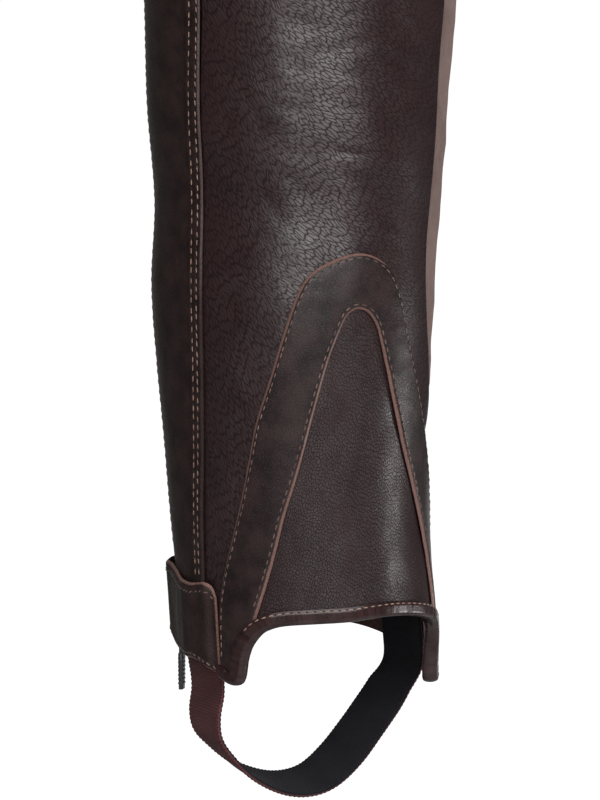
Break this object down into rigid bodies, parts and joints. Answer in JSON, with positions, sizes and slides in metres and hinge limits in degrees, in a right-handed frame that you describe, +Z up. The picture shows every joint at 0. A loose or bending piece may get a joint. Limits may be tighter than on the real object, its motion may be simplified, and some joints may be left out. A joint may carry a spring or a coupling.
{
  "type": "half chap",
  "caption": "Zipped leather half chap for a rider's lower leg, with a suede inner panel, a V-shaped ankle band and an elastic strap under the foot.",
  "frame": {"origin": "on the axis of the wearer's leg, at the calf, 240 mm above the bottoms of the two side tabs; the wearer's leg holds it there", "axes": "+Z up the leg towards the knee, -Y towards the shin, +X towards the inner side of the leg, for a right leg"},
  "size_m": [0.1142, 0.1242, 0.4646],
  "materials": {
    "grained_leather": "pebbled, half matte, dark brown",
    "smooth_leather": "fine grain, matte, dark brown, raw pinkish-brown edges",
    "suede": "napped suede, lighter brown",
    "folded_leather": "glossy folded edge binding, reddish brown",
    "elastic": "woven elastic, brown outside and black inside",
    "zip_tape": "woven tape, black",
    "zip_metal": "black metal, half gloss"
  },
  "bodies": {
    "chap": {"front_panel": "grained_leather", "ankle_front": "grained_leather", "rear_outer_panel": "smooth_leather", "ankle_v_band": "smooth_leather", "side_seam_strip": "smooth_leather", "zip_guard": "smooth_leather", "inner_calf_panel": "suede", "instep_binding": "folded_leather", "stirrup_strap": "elastic", "zip_tape_front": "zip_tape", "zip_tape_rear": "zip_tape", "zip_chain": "zip_metal", "zip_slider": "zip_metal"},
    "pull": {"zip_pull": "zip_metal"}
  },
  "joints": [
    {"name": "zip_pull_hinge", "type": "hinge", "parent": "chap", "child": "pull", "pos_m": [-0.03515, 0.0243, -0.2245], "axis": [0.6154, 0.7882, 0], "range_deg": [-5, 20]}
  ]
}
